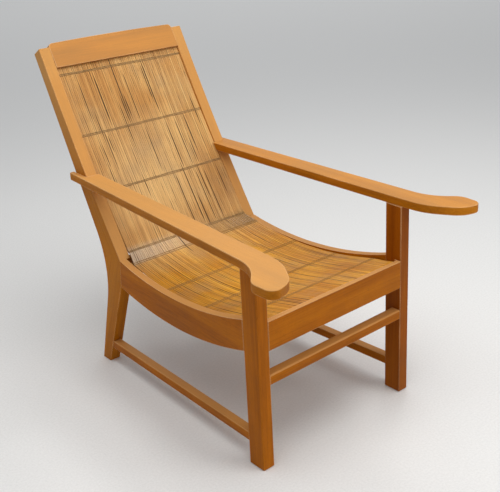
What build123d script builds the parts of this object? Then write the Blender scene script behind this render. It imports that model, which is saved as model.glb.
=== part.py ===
from build123d import *
import os
from math import atan, cos, degrees, floor, radians, sin, tan

# All sizes are millimetres and all angles degrees.
# While it is drawn, the chair stands with x across it from its middle, y backwards
# from the front faces of the front legs, and z up from the floor.

# Plan of the frame
front_width = 560  # over the outer faces of the front legs
rear_width = 520  # over the outer faces of the rear legs
seat_run = 585  # from the front legs back to the rear legs, along the side rails

# Heights of the seat frame
front_seat_height = 417.5  # top of the front rail, and of the side rails there
rear_seat_height = 386.5  # top of the side rails at the rear legs

# Front legs
front_leg_width = 36
front_leg_depth = 55
front_leg_rounding = 5  # radius of the outer front corner

# Rear legs, each one bent board from the foot to the top of the back
rear_leg_width = 36
rear_foot_reach = 127  # from the seat joint back to the toe
rear_foot_depth = 41
joint_set_back = 10  # how far the seat joint leans back at its foot
rake_angle = 29.9  # of the back, from upright
stile_length = 677.5  # from the seat joint to the top of the back
stile_bow = 7.5  # hollow of the front edge of the back
stile_top_depth = 39
bend_depth = 65  # behind the seat joint, where the two rear edges would meet
bend_drop = 40  # below the top of the seat joint, at the same place
bend_radius = 300

# Side rails
side_rail_thickness = 22
side_rail_height = 88
side_rail_dip = 39  # hollow of the top edge, and of the lower edge

# Front rail, with a rebate behind its top edge for the ends of the strips
front_rail_thickness = 21
front_rail_height = 82
front_rail_lip = 12

# Rear rail, low between the rear legs
rear_rail_thickness = 26
rear_rail_height = 62
rear_rail_drop = 18  # below the top of the side rails
rear_rail_margin = 6  # wood between its tenons and those of the side rails

# Front stretcher
front_stretcher_height = 29
front_stretcher_thickness = 30
front_stretcher_drop = 165  # of its middle below the top of the front rail
front_stretcher_inset = 1

# Side stretchers
side_stretcher_size = 26
side_stretcher_front_level = 79.5
side_stretcher_rear_level = 69.5
side_stretcher_inset = 1.5

# Crest rail
crest_height = 80
crest_thickness = 22
crest_stand = 14.5  # above the tops of the stiles
crest_crown = 3  # rise of the top edge at the middle
crest_inset = 1
crest_corner = 12  # radius of the top corners
crest_groove_depth = 8

# Arms
arm_height = 600  # top face, at the front of the front legs
arm_pitch = 1.15  # rise of the arm towards the back
arm_thickness = 24
arm_rear_reach = 215  # behind the seat joint
arm_outer_lap = 13  # outside the rear leg, at the end of the arm
arm_inner_lap = 9.5  # inside the rear leg
arm_overhang = 172.5  # in front of the front legs
arm_flare = 94.5  # outside the front legs
# Corners of the paddle, from the outside round the front to the inside: across as a
# share of the flare, forward as a share of the overhang, and the radius as a share of it
arm_corner_shares = (
    (0.37, 0.215, 0.794),
    (1.0, 0.575, 0.255),
    (0.957, 1.0, 0.133),
    (0.272, 0.903, 0.412),
    (-0.321, 0.405, 0.893),
)

# Mat of split strips
mat_back_margin = 2  # between the mat and the rear legs
mat_seat_margin = 3  # between the mat and the side rails, at the front edge of the band
mat_spread_margin = 8  # between the mat and the side rails, where the mat is widest
mat_spread_set_back = 45  # of that place behind the front legs
mat_front_margin = 3  # between the mat and the front legs
strip_width = 6
strip_gap = 0.45  # least gap between two strips
strip_thickness = 2
mat_top_inset = 10  # behind the line of the back, at the top end
mat_bow = 7.9  # hollow of the mat between the top end and the crease
crease_rise = 16  # up the line of the back from the seat joint
crease_stand = 3  # in front of the line of the back
crease_radius = 30
bend_width = 54  # flat band from the crease forward
bend_slope = 22.8
mat_drop = 4  # of the strips' ends below the top of the front rail
mat_front_slope = 12
mat_straight_run = 150  # straight stretch behind the front rail
back_chords = 4  # straight chords that stand in for the bends of each strip
crease_chords = 3
seat_chords = 7

# Rows of twine
twine_width = 3
twine_thickness = 1.4
bend_row_set_back = 3  # behind the front edge of the band
back_row_shares = (0.053, 0.384, 0.687)  # of the way from the top end to the crease
seat_row_shares = (0.296, 0.587, 0.84)  # of the way from the band to the front end

# Slats behind the rows of twine
slat_width = 28
slat_thickness = 10
slat_chamfer = 2
bend_slat_thickness = 18
bend_slat_margin = 4  # from the edges of the band
bend_tongue_height = 8
bend_tongue_width = 18

# Joints
rail_tenon_thickness = 10
rail_tenon_length = 24
rail_tenon_shoulder = 12
stretcher_tenon_thickness = 10
stretcher_tenon_length = 20
stretcher_tenon_shoulder = 4
crest_tenon_thickness = 10
crest_tenon_length = 22
crest_tenon_shoulder = 10
slat_tenon_thickness = 5
slat_tenon_length = 12
slat_tenon_shoulder = 4
arm_tenon_thickness = 10
arm_tenon_length = 26
arm_tenon_width = 24
leg_tenon_width = 18
leg_tenon_depth = 34
leg_tenon_length = 14
joint_clearance = 0.2
mat_clearance = 0.15

# Finish of the edges
arris = 1.5  # chamfer along the edges of the frame
foot_chamfer = 2.5
overrun = 120  # how far a cut runs past what it cuts

# Places that follow from the sizes above
front_outer = front_width / 2
rear_outer = rear_width / 2
front_inner = front_outer - front_leg_width
rear_inner = rear_outer - rear_leg_width
joint_y = front_leg_depth + seat_run
rake_run = sin(radians(rake_angle))
rake_rise = cos(radians(rake_angle))
crest_low = stile_length + crest_stand - crest_height
toe_y = joint_y + rear_foot_reach
joint_foot_y = joint_y + joint_set_back
joint_foot_z = rear_seat_height - side_rail_height
front_stretcher_level = front_seat_height - front_stretcher_drop


def on_rake(along, behind):
    """Point (y, z) at a distance up the line of the back and behind it."""
    y = joint_y + along * rake_run + behind * rake_rise
    z = rear_seat_height + along * rake_rise - behind * rake_run
    return (y, z)


def rear_leg_front(z):
    """How far back the front edge of the rear leg is, below the seat joint."""
    return toe_y + (joint_foot_y - toe_y) * z / joint_foot_z


def arm_under(y):
    """Height of the underside of the arms."""
    pitch = radians(arm_pitch)
    return arm_height + y * tan(pitch) - arm_thickness / cos(pitch)


def side_rail_outer(y):
    """How far from the middle the outer face of a side rail is."""
    return front_outer + (rear_outer - front_outer) * (y - front_leg_depth) / seat_run


def block(x_low, x_high, y_low, y_high, z_low, z_high, grow=0):
    """Box between low and high faces, larger all round by grow."""
    middle = Vector(x_low + x_high, y_low + y_high, z_low + z_high) / 2
    size = (x_high - x_low + 2 * grow, y_high - y_low + 2 * grow, z_high - z_low + 2 * grow)
    return Pos(*middle) * Box(*size)


def prism(outline, x_low, x_high):
    """Solid between two places across the chair, with an outline drawn as (y, z)."""
    face = Plane.YZ * make_face(outline)
    return Pos(x_low, 0, 0) * extrude(face, amount=x_high - x_low)


def splayed(outline, outer_front, outer_rear, rear_y, thickness):
    """Bar with an outline drawn as (y, z), whose faces run outwards to the front."""
    slope = (outer_front - outer_rear) / (rear_y - front_leg_depth)
    end_y = rear_y + overrun
    end_x = outer_rear - slope * overrun
    plan = Polyline(
        (outer_front, front_leg_depth),
        (end_x, end_y),
        (end_x - thickness, end_y),
        (outer_front - thickness, front_leg_depth),
        close=True,
    )
    walls = extrude(make_face(plan), amount=arm_height)
    return prism(outline, 0, front_outer + overrun) & walls


# Rear legs


def stile_front_edge():
    """Front edge of the back, slightly hollow."""
    return SagittaArc(on_rake(0, 0), on_rake(stile_length, 0), -stile_bow)


def rear_leg_outline():
    bend = (joint_y + bend_depth, rear_seat_height - bend_drop)
    heel = (toe_y + rear_foot_depth, 0)
    back_top = on_rake(stile_length, stile_top_depth)
    front = Polyline(heel, (toe_y, 0), (joint_foot_y, joint_foot_z), on_rake(0, 0))
    top = Line(on_rake(stile_length, 0), back_top)
    back = FilletPolyline(back_top, bend, heel, radius=bend_radius)
    return front + stile_front_edge() + top + back


def rear_leg():
    leg = prism(rear_leg_outline(), rear_inner, rear_outer)
    rims = leg.faces().sort_by(Axis.X)
    leg = chamfer(rims[0].edges() + rims[-1].edges(), arris)
    leg -= side_rail_rear_tenon(joint_clearance)
    leg -= side_stretcher_rear_tenon(joint_clearance)
    leg -= rear_rail_tenons(joint_clearance)
    leg -= crest_tenons(joint_clearance)
    leg -= arm_tenon(joint_clearance)
    for distance in back_row_distances():
        leg -= back_slat_tenons(distance, joint_clearance)
    return leg


# Front legs


def front_leg_tenon(grow=0):
    middle_x = (front_inner + front_outer) / 2
    middle_y = front_leg_depth / 2
    top = arm_under(0) + leg_tenon_length
    return block(
        middle_x - leg_tenon_width / 2,
        middle_x + leg_tenon_width / 2,
        middle_y - leg_tenon_depth / 2,
        middle_y + leg_tenon_depth / 2,
        top - 2 * leg_tenon_length,
        top,
        grow,
    )


def towards_outer_front(corner):
    return corner.X - corner.Y


def front_leg():
    middle = (front_inner + front_outer) / 2
    plan = Pos(middle, front_leg_depth / 2) * Rectangle(front_leg_width, front_leg_depth)
    plan = fillet(max(plan.vertices(), key=towards_outer_front), front_leg_rounding)
    plan = chamfer(sorted(plan.vertices(), key=towards_outer_front)[:3], arris)
    side = Polyline(
        (0, 0),
        (front_leg_depth, 0),
        (front_leg_depth, arm_under(front_leg_depth)),
        (0, arm_under(0)),
        close=True,
    )
    leg = extrude(plan, amount=arm_height) & prism(side, 0, front_width)
    leg = chamfer(leg.faces().sort_by(Axis.Z)[0].edges(), foot_chamfer)
    leg += front_leg_tenon()
    leg -= side_rail_front_tenon(joint_clearance)
    leg -= front_rail_tenons(joint_clearance)
    leg -= front_stretcher_tenons(joint_clearance)
    leg -= side_stretcher_front_tenon(joint_clearance)
    return leg


# Side rails


def side_rail_front_tenon(grow=0):
    middle = front_outer - side_rail_thickness / 2
    return block(
        middle - rail_tenon_thickness / 2,
        middle + rail_tenon_thickness / 2,
        front_leg_depth - rail_tenon_length,
        front_leg_depth + rail_tenon_length,
        front_seat_height - side_rail_height + rail_tenon_shoulder,
        front_seat_height - rail_tenon_shoulder,
        grow,
    )


def side_rail_rear_tenon(grow=0):
    middle = rear_outer - side_rail_thickness / 2
    return block(
        middle - rail_tenon_thickness / 2,
        middle + rail_tenon_thickness / 2,
        joint_y - rail_tenon_length,
        joint_foot_y + rail_tenon_length,
        joint_foot_z + rail_tenon_shoulder,
        rear_seat_height - rail_tenon_shoulder,
        grow,
    )


def side_rail():
    front_top = (front_leg_depth, front_seat_height)
    front_foot = (front_leg_depth, front_seat_height - side_rail_height)
    rear_top = (joint_y, rear_seat_height)
    rear_foot = (joint_foot_y, joint_foot_z)
    outline = (
        Line(front_foot, front_top)
        + SagittaArc(front_top, rear_top, -side_rail_dip)
        + Line(rear_top, rear_foot)
        + SagittaArc(rear_foot, front_foot, side_rail_dip)
    )
    rail = splayed(outline, front_outer, rear_outer, joint_y, side_rail_thickness)
    rail += side_rail_front_tenon()
    rail += side_rail_rear_tenon()
    rail -= bend_slat_tongues(joint_clearance)
    for distance in seat_row_distances():
        rail -= seat_slat_tenons(distance, joint_clearance)
    return rail


# Rails and stretchers that cross the chair


def front_rail_tenons(grow=0):
    reach = front_inner + rail_tenon_length
    middle = front_rail_thickness / 2
    return block(
        -reach,
        reach,
        middle - rail_tenon_thickness / 2,
        middle + rail_tenon_thickness / 2,
        front_seat_height - front_rail_height + rail_tenon_shoulder,
        front_seat_height - rail_tenon_shoulder,
        grow,
    )


def front_rail():
    low = front_seat_height - front_rail_height
    body = block(-front_inner, front_inner, 0, front_rail_thickness, low, front_seat_height)
    body = chamfer(body.edges().filter_by(Axis.X), arris)
    return body + front_rail_tenons() - mat_rebate()


def rear_rail_front():
    """How far back the front face of the rear rail is."""
    tenon_front = joint_foot_y + rail_tenon_length + rear_rail_margin
    return tenon_front + (rail_tenon_thickness - rear_rail_thickness) / 2


def rear_rail_tenons(grow=0):
    reach = rear_inner + rail_tenon_length
    middle = rear_rail_front() + rear_rail_thickness / 2
    top = rear_seat_height - rear_rail_drop
    return block(
        -reach,
        reach,
        middle - rail_tenon_thickness / 2,
        middle + rail_tenon_thickness / 2,
        top - rear_rail_height + rail_tenon_shoulder,
        top - rail_tenon_shoulder,
        grow,
    )


def rear_rail():
    top = rear_seat_height - rear_rail_drop
    front = rear_rail_front()
    rear = front + rear_rail_thickness
    body = block(-rear_inner, rear_inner, front, rear, top - rear_rail_height, top)
    body = chamfer(body.edges().filter_by(Axis.X), arris)
    return body + rear_rail_tenons()


def front_stretcher_tenons(grow=0):
    reach = front_inner + stretcher_tenon_length
    middle = front_stretcher_inset + front_stretcher_thickness / 2
    half_height = front_stretcher_height / 2 - stretcher_tenon_shoulder
    return block(
        -reach,
        reach,
        middle - stretcher_tenon_thickness / 2,
        middle + stretcher_tenon_thickness / 2,
        front_stretcher_level - half_height,
        front_stretcher_level + half_height,
        grow,
    )


def front_stretcher():
    body = block(
        -front_inner,
        front_inner,
        front_stretcher_inset,
        front_stretcher_inset + front_stretcher_thickness,
        front_stretcher_level - front_stretcher_height / 2,
        front_stretcher_level + front_stretcher_height / 2,
    )
    body = chamfer(body.edges().filter_by(Axis.X), 2 * arris)
    return body + front_stretcher_tenons()


def side_stretcher_front_tenon(grow=0):
    middle = front_outer - side_stretcher_inset - side_stretcher_size / 2
    half_height = side_stretcher_size / 2 - stretcher_tenon_shoulder
    return block(
        middle - stretcher_tenon_thickness / 2,
        middle + stretcher_tenon_thickness / 2,
        front_leg_depth - stretcher_tenon_length,
        front_leg_depth + stretcher_tenon_length,
        side_stretcher_front_level - half_height,
        side_stretcher_front_level + half_height,
        grow,
    )


def side_stretcher_rear_tenon(grow=0):
    middle = rear_outer - side_stretcher_inset - side_stretcher_size / 2
    half_height = side_stretcher_size / 2 - stretcher_tenon_shoulder
    end = rear_leg_front(side_stretcher_rear_level)
    return block(
        middle - stretcher_tenon_thickness / 2,
        middle + stretcher_tenon_thickness / 2,
        end - stretcher_tenon_length,
        end + stretcher_tenon_length,
        side_stretcher_rear_level - half_height,
        side_stretcher_rear_level + half_height,
        grow,
    )


def side_stretcher():
    half = side_stretcher_size / 2
    low = side_stretcher_rear_level - half
    high = side_stretcher_rear_level + half
    outline = Polyline(
        (front_leg_depth, side_stretcher_front_level - half),
        (rear_leg_front(low), low),
        (rear_leg_front(high), high),
        (front_leg_depth, side_stretcher_front_level + half),
        close=True,
    )
    outer_front = front_outer - side_stretcher_inset
    outer_rear = rear_outer - side_stretcher_inset
    end = rear_leg_front(side_stretcher_rear_level)
    bar = splayed(outline, outer_front, outer_rear, end, side_stretcher_size)
    bar = chamfer(bar.edges().sort_by(SortBy.LENGTH)[-4:], arris)
    return bar + side_stretcher_front_tenon() + side_stretcher_rear_tenon()


# Crest rail


def rake_plane():
    """Plane of the back: x across, y up the back, z towards the front."""
    origin = (0, joint_y, rear_seat_height)
    return Plane(origin=origin, x_dir=(1, 0, 0), z_dir=(0, -rake_rise, rake_run))


def crest_tenons(grow=0):
    reach = rear_inner + crest_tenon_length
    middle = -crest_inset - crest_thickness / 2
    return rake_plane() * block(
        -reach,
        reach,
        crest_low + crest_tenon_shoulder,
        stile_length - crest_tenon_shoulder,
        middle - crest_tenon_thickness / 2,
        middle + crest_tenon_thickness / 2,
        grow,
    )


def crest_rail():
    top = stile_length + crest_stand
    left, right = (rear_inner, top - crest_crown), (-rear_inner, top - crest_crown)
    sides = Polyline(right, (-rear_inner, crest_low), (rear_inner, crest_low), left)
    face = make_face(sides + ThreePointArc(left, (0, top), right))
    face = fillet(face.vertices().sort_by(Axis.Y)[-2:], crest_corner)
    body = extrude(rake_plane().offset(-crest_inset) * face, amount=-crest_thickness)
    return body + crest_tenons() - mat_groove()


# Arms


def arm_plane():
    """Plane of the top face of the arms."""
    pitch = radians(arm_pitch)
    return Plane(origin=(0, 0, arm_height), x_dir=(1, 0, 0), z_dir=(0, -sin(pitch), cos(pitch)))


def arm_tenon(grow=0):
    """Tenon at the rear end of the arm, in the front edge of the back."""
    middle_x = (rear_inner + rear_outer) / 2
    level = arm_under(joint_y + arm_rear_reach / 2) + arm_thickness / 2
    end = joint_y + (level - rear_seat_height) * tan(radians(rake_angle))
    return block(
        middle_x - arm_tenon_width / 2,
        middle_x + arm_tenon_width / 2,
        end - arm_tenon_length,
        end + arm_tenon_length,
        level - arm_tenon_thickness / 2,
        level + arm_tenon_thickness / 2,
        grow,
    )


def arm():
    rear_y = joint_y + arm_rear_reach
    points = [(rear_outer + arm_outer_lap, rear_y)]
    for across, forward, _ in arm_corner_shares:
        points.append((front_outer + across * arm_flare, -forward * arm_overhang))
    points.append((rear_inner - arm_inner_lap, rear_y))
    radii = [share * arm_overhang for _, _, share in arm_corner_shares]
    sides = FilletPolyline(*points, radius=radii)
    face = make_face(sides + Line(points[-1], points[0]))
    board = extrude(arm_plane() * face, amount=-arm_thickness)
    flats = board.faces().sort_by(Axis.Z)
    board = chamfer(flats[0].edges() + flats[-1].edges(), arris)
    behind_stile = (
        stile_front_edge()
        + Line(on_rake(stile_length, 0), on_rake(stile_length, overrun))
        + Line(on_rake(stile_length, overrun), on_rake(0, overrun))
        + Line(on_rake(0, overrun), on_rake(0, 0))
    )
    board -= prism(behind_stile, 0, rear_outer)
    return board + arm_tenon() - front_leg_tenon(joint_clearance)


# Mat of strips, from the crest rail down the back and forward to the front rail

mat_top = on_rake(crest_low + crest_groove_depth, mat_top_inset)
mat_corner = on_rake(crease_rise, -crease_stand)
mat_band_y = mat_corner[0] - bend_width * cos(radians(bend_slope))
mat_spread_y = front_leg_depth + mat_spread_set_back
mat_back_half = rear_inner - mat_back_margin
mat_front_half = front_inner - mat_front_margin
# Edge of the mat in plan, as (half width, y) from the front end to behind the top
mat_edge = (
    (mat_front_half, 0),
    (mat_front_half, front_leg_depth),
    (side_rail_outer(mat_spread_y) - side_rail_thickness - mat_spread_margin, mat_spread_y),
    (side_rail_outer(mat_band_y) - side_rail_thickness - mat_seat_margin, mat_band_y),
    (mat_back_half, joint_y),
    (mat_back_half, mat_top[0] + overrun),
)


def chords(arc, count):
    points = [arc @ (number / count) for number in range(count + 1)]
    return Polyline(*points)


def mat_stretches():
    """Front face of the strips as (y, z): back, crease, band, seat and front stretch."""
    corner = Vector(*mat_corner)
    slope = radians(bend_slope)
    band = Vector(-cos(slope), -sin(slope))
    band_end = corner + band * bend_width
    front_slope = radians(mat_front_slope)
    rise = Vector(-cos(front_slope), sin(front_slope))
    front_end = Vector(front_rail_lip, front_seat_height - mat_drop)
    straight_end = front_end - rise * mat_straight_run

    whole_back = SagittaArc(mat_top, corner, mat_bow)
    turn = (whole_back % 1).get_angle(band)
    set_back = crease_radius * tan(radians(turn / 2))
    back = whole_back.trim(0, 1 - set_back / whole_back.length)
    crease = TangentArc(back @ 1, corner + band * set_back, tangent=back % 1)
    bend = Line(crease @ 1, band_end)
    sag = TangentArc(straight_end, band_end, tangent=rise * -1)
    seat = ThreePointArc(band_end, sag @ 0.5, straight_end)
    front = Line(straight_end, front_end)
    back, crease = chords(back, back_chords), chords(crease, crease_chords)
    return back, crease, bend, chords(seat, seat_chords), front


def mat_path():
    return Wire([edge for stretch in mat_stretches() for edge in stretch.edges()])


def mat_half_width(y):
    """Half the width of the mat, at a distance behind the front of the front legs."""
    for (front_half, front_y), (rear_half, rear_y) in zip(mat_edge, mat_edge[1:]):
        if y <= rear_y:
            return front_half + (rear_half - front_half) * (y - front_y) / (rear_y - front_y)


def back_row_distances():
    """Places of the rows on the back, along a strip from its top end."""
    back = mat_stretches()[0].length
    return [share * back for share in back_row_shares]


def band_row_distances():
    """Places of the rows at the crease and at the front edge of the band."""
    back, crease, bend = [stretch.length for stretch in mat_stretches()[:3]]
    return [back + crease / 2, back + crease + bend - bend_row_set_back]


def seat_row_distances():
    """Places of the rows on the seat, along a strip from its top end."""
    lengths = [stretch.length for stretch in mat_stretches()]
    return [sum(lengths[:3]) + share * sum(lengths[3:]) for share in seat_row_shares]


def mat_plane(distance):
    """Plane on the strips: x across, y back along them, z out of their front face."""
    path = mat_path()
    point = path.position_at(distance, position_mode=PositionMode.LENGTH)
    tangent = path.tangent_at(distance, position_mode=PositionMode.LENGTH)
    outward = (0, tangent.Y, -tangent.X)
    return Plane(origin=(0, point.X, point.Y), x_dir=(1, 0, 0), z_dir=outward)


def mat_groove():
    """Groove in the lower edge of the crest rail for the top ends of the strips."""
    return mat_plane(0) * block(
        -rear_inner,
        rear_inner,
        -overrun,
        joint_clearance,
        -strip_thickness - 2 * mat_clearance,
        2 * mat_clearance,
    )


def mat_rebate():
    """Rebate behind the top edge of the front rail for the front ends of the strips."""
    reach = mat_front_half + mat_clearance
    return mat_plane(mat_path().length) * block(
        -reach,
        reach,
        -joint_clearance,
        overrun,
        -strip_thickness - mat_clearance,
        overrun,
    )


def strip_plan(side):
    """Plan of a strip; the strips spread over the band and the seat, and close in in front."""
    middles = [(side * (half - strip_width / 2), y) for half, y in mat_edge]
    left = [(x - strip_width / 2, y) for x, y in middles]
    right = [(x + strip_width / 2, y) for x, y in middles]
    return make_face(Polyline(*left, *reversed(right), close=True))


def mat_strips():
    band = mat_path().offset_2d(strip_thickness, kind=Kind.INTERSECTION, side=Side.LEFT)
    sheet = prism(band, -front_outer, front_outer)
    height = rear_seat_height + stile_length
    count = floor((2 * mat_back_half + strip_gap) / (strip_width + strip_gap))
    strips = []
    for number in range(count):
        side = 2 * number / (count - 1) - 1
        strips.append((sheet & extrude(strip_plan(side), amount=height)).solid())
    return Compound(children=strips)


def twine_row(distance):
    """Flat ring of twine, in front of the strips and behind them."""
    plane = mat_plane(distance)
    y, reach = plane.origin.Y, twine_width / 2
    half = max(mat_half_width(y - reach), mat_half_width(y + reach)) + mat_clearance
    back = -strip_thickness - mat_clearance
    front = mat_clearance
    outer = block(
        -half - twine_thickness,
        half + twine_thickness,
        -twine_width / 2,
        twine_width / 2,
        back - twine_thickness,
        front + twine_thickness,
    )
    inner = block(-half, half, -twine_width, twine_width, back, front)
    return plane * (outer - inner)


# Slats behind the mat

slat_offset = strip_thickness + twine_thickness + 2 * mat_clearance


def slat_bar(plane, reach, width, thickness):
    """Bar behind the mat with eased long edges."""
    bar = block(-reach, reach, -width / 2, width / 2, -slat_offset - thickness, -slat_offset)
    return plane * chamfer(bar.edges().filter_by(Axis.X), slat_chamfer)


def slat_tenon_bar(plane, reach, grow):
    middle = -slat_offset - slat_thickness / 2
    half_width = slat_width / 2 - slat_tenon_shoulder
    return plane * block(
        -reach,
        reach,
        -half_width,
        half_width,
        middle - slat_tenon_thickness / 2,
        middle + slat_tenon_thickness / 2,
        grow,
    )


def back_slat_tenons(distance, grow=0):
    return slat_tenon_bar(mat_plane(distance), rear_inner + slat_tenon_length, grow)


def back_slat(distance):
    bar = slat_bar(mat_plane(distance), rear_inner, slat_width, slat_thickness)
    return bar + back_slat_tenons(distance)


def seat_slat_tenons(distance, grow=0):
    plane = mat_plane(distance)
    inner = side_rail_outer(plane.origin.Y) - side_rail_thickness
    return slat_tenon_bar(plane, inner + slat_tenon_length, grow)


def between_side_rails():
    front = front_outer - side_rail_thickness
    rear = rear_outer - side_rail_thickness
    plan = Polyline(
        (-front, front_leg_depth),
        (front, front_leg_depth),
        (rear, joint_y),
        (-rear, joint_y),
        close=True,
    )
    return extrude(make_face(plan), amount=arm_height)


def seat_slat(distance):
    bar = slat_bar(mat_plane(distance), front_outer, slat_width, slat_thickness)
    return (bar & between_side_rails()) + seat_slat_tenons(distance)


def band_plane():
    """Plane at the middle of the flat band between the crease and the seat."""
    back, crease, bend = [stretch.length for stretch in mat_stretches()[:3]]
    return mat_plane(back + crease + bend - bend_width / 2)


def bend_slat_tongues(grow=0):
    """Tongues at the ends of the wide slat, low on its front half, in the side rails."""
    front = bend_slat_margin - bend_width / 2
    foot = -slat_offset - bend_slat_thickness
    reach = side_rail_outer(joint_y) - side_rail_thickness + slat_tenon_length
    return band_plane() * block(
        -reach,
        reach,
        front + arris,
        front + arris + bend_tongue_width,
        foot,
        foot + bend_tongue_height,
        grow,
    )


def bend_slat():
    width = bend_width - 2 * bend_slat_margin
    bar = slat_bar(band_plane(), rear_inner - joint_clearance, width, bend_slat_thickness)
    return bar + bend_slat_tongues()


# Everything is made, then moved so that the origin is under the middle of the chair.


def pieces():
    made = {
        "front_rail": front_rail(),
        "rear_rail": rear_rail(),
        "crest_rail": crest_rail(),
        "front_stretcher": front_stretcher(),
        "mat_strips": mat_strips(),
        "bend_slat": bend_slat(),
    }
    sided = {
        "rear_leg": rear_leg(),
        "front_leg": front_leg(),
        "side_rail": side_rail(),
        "side_stretcher": side_stretcher(),
        "arm": arm(),
    }
    for name, piece in sided.items():
        made[name + "_left"] = piece
        made[name + "_right"] = mirror(piece, about=Plane.YZ)
    for name, distance in zip(("upper", "middle", "lower"), back_row_distances()):
        made["back_slat_" + name] = back_slat(distance)
    for name, distance in zip(("rear", "middle", "front"), seat_row_distances()):
        made["seat_slat_" + name] = seat_slat(distance)
    rows = back_row_distances() + band_row_distances() + seat_row_distances()
    for number, distance in enumerate(rows, start=1):
        made["twine_row_" + str(number)] = twine_row(distance)
    return made


os.makedirs("parts", exist_ok=True)
made = pieces()
front_y = made["arm_left"].bounding_box().min.Y
rear_y = max(made[name].bounding_box().max.Y for name in ("rear_leg_left", "crest_rail"))
for name, piece in made.items():
    export_step(Pos(0, -(front_y + rear_y) / 2, 0) * piece, "parts/" + name + ".step")
print("The front legs' front faces lie at y =", -(front_y + rear_y) / 2)
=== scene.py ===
import math
import random

import bpy
from mathutils import Matrix, Vector
from mathutils.geometry import intersect_point_line


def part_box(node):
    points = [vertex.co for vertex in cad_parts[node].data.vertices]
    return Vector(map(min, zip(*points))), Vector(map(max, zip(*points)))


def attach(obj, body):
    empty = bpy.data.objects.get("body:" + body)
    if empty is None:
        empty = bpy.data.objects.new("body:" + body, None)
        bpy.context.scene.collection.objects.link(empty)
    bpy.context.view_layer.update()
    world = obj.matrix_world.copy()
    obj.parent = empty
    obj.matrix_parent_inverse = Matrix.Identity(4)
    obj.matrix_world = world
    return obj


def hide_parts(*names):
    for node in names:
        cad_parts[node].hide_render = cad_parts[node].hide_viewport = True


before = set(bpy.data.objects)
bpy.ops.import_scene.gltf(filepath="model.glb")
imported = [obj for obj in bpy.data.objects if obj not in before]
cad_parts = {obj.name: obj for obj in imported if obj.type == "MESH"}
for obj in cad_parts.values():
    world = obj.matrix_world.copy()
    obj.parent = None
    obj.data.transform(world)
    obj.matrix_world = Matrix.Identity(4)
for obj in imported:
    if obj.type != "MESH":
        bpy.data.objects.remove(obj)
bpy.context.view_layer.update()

# Lengths are in metres. The chair faces -Y, and its left side is on +X.
# "Down the mat" is the distance along its face, from the top end to the front end.
# "Across" runs from -1 at the mat's right edge to 1 at its left edge.

# Where the chair stands in the frame: the front faces of its front legs
FRONT_Y = -0.4226865

# The line of the back: the seat joint at its foot, how far it leans, and how far the rear
# legs splay backwards below it
SEAT_JOINT_Y = FRONT_Y + 0.640
SEAT_JOINT_Z = 0.3865
RAKE = math.radians(29.9)
FOOT_SPLAY = math.radians(21.4)

# The mat's front face, in the plane of the chair's side: the bowed back, the crease, the
# flat band in front of it, and the straight run at the front of the seat
MAT_TOP_ALONG = 0.620
MAT_TOP_BEHIND = 0.010
MAT_BOW = 0.0079
CREASE_ALONG = 0.016
CREASE_BEHIND = -0.003
CREASE_EASE = 0.0096
BAND_SLOPE = math.radians(22.8)
BAND_WIDTH = 0.054
FRONT_SLOPE = math.radians(12)
FRONT_RUN = 0.150
FRONT_END_Y = FRONT_Y + 0.012
FRONT_END_Z = 0.4135

# Into how many steps that line is cut, and where the band's inner points are
BACK_STEPS = 30
CREASE_STEPS = 5
BAND_SHARES = (0.66, 0.33)
SEAT_STEPS = 24
FRONT_STEPS = 6

# The mat's edge from above, as (y, half its width), from the front end backwards
MAT_EDGE = (
    (FRONT_Y, 0.2422),
    (FRONT_Y + 0.055, 0.2422),
    (FRONT_Y + 0.100, 0.2505),
    (FRONT_Y + 0.400, 0.2448),
    (FRONT_Y + 0.5956, 0.2388),
    (SEAT_JOINT_Y, 0.2236),
    (SEAT_JOINT_Y + 1, 0.2236),
)


# Shapes: helpers. Points in the plane of the chair's side are 2-D vectors of (y, z), so
# the x of such a vector is the chair's y.


def on_rake(along, behind):
    """Point (y, z) at a distance up the line of the back and behind it."""
    y = SEAT_JOINT_Y + along * math.sin(RAKE) + behind * math.cos(RAKE)
    z = SEAT_JOINT_Z + along * math.cos(RAKE) - behind * math.sin(RAKE)
    return Vector((y, z))


def arc(start, end, sagitta, steps):
    """Points of a circular arc; with a positive sagitta it bulges to the left."""
    chord = end - start
    left = Vector((-chord.y, chord.x)).normalized()
    radius = (chord.length_squared / 4 + sagitta ** 2) / (2 * abs(sagitta))
    side = math.copysign(1, sagitta)
    centre = (start + end) / 2 - left * side * (radius - abs(sagitta))
    half = math.asin(chord.length / 2 / radius)
    points = []
    for step in range(steps + 1):
        turn = half * (2 * step / steps - 1)
        along = chord.normalized() * math.sin(turn)
        points.append(centre + (along + left * side * math.cos(turn)) * radius)
    return points


def eased_corner(before, corner, after, steps):
    """Points of a short curve in place of a corner."""
    points = []
    for step in range(steps + 1):
        t = step / steps
        points.append(before * (1 - t) ** 2 + corner * 2 * t * (1 - t) + after * t ** 2)
    return points


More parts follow.
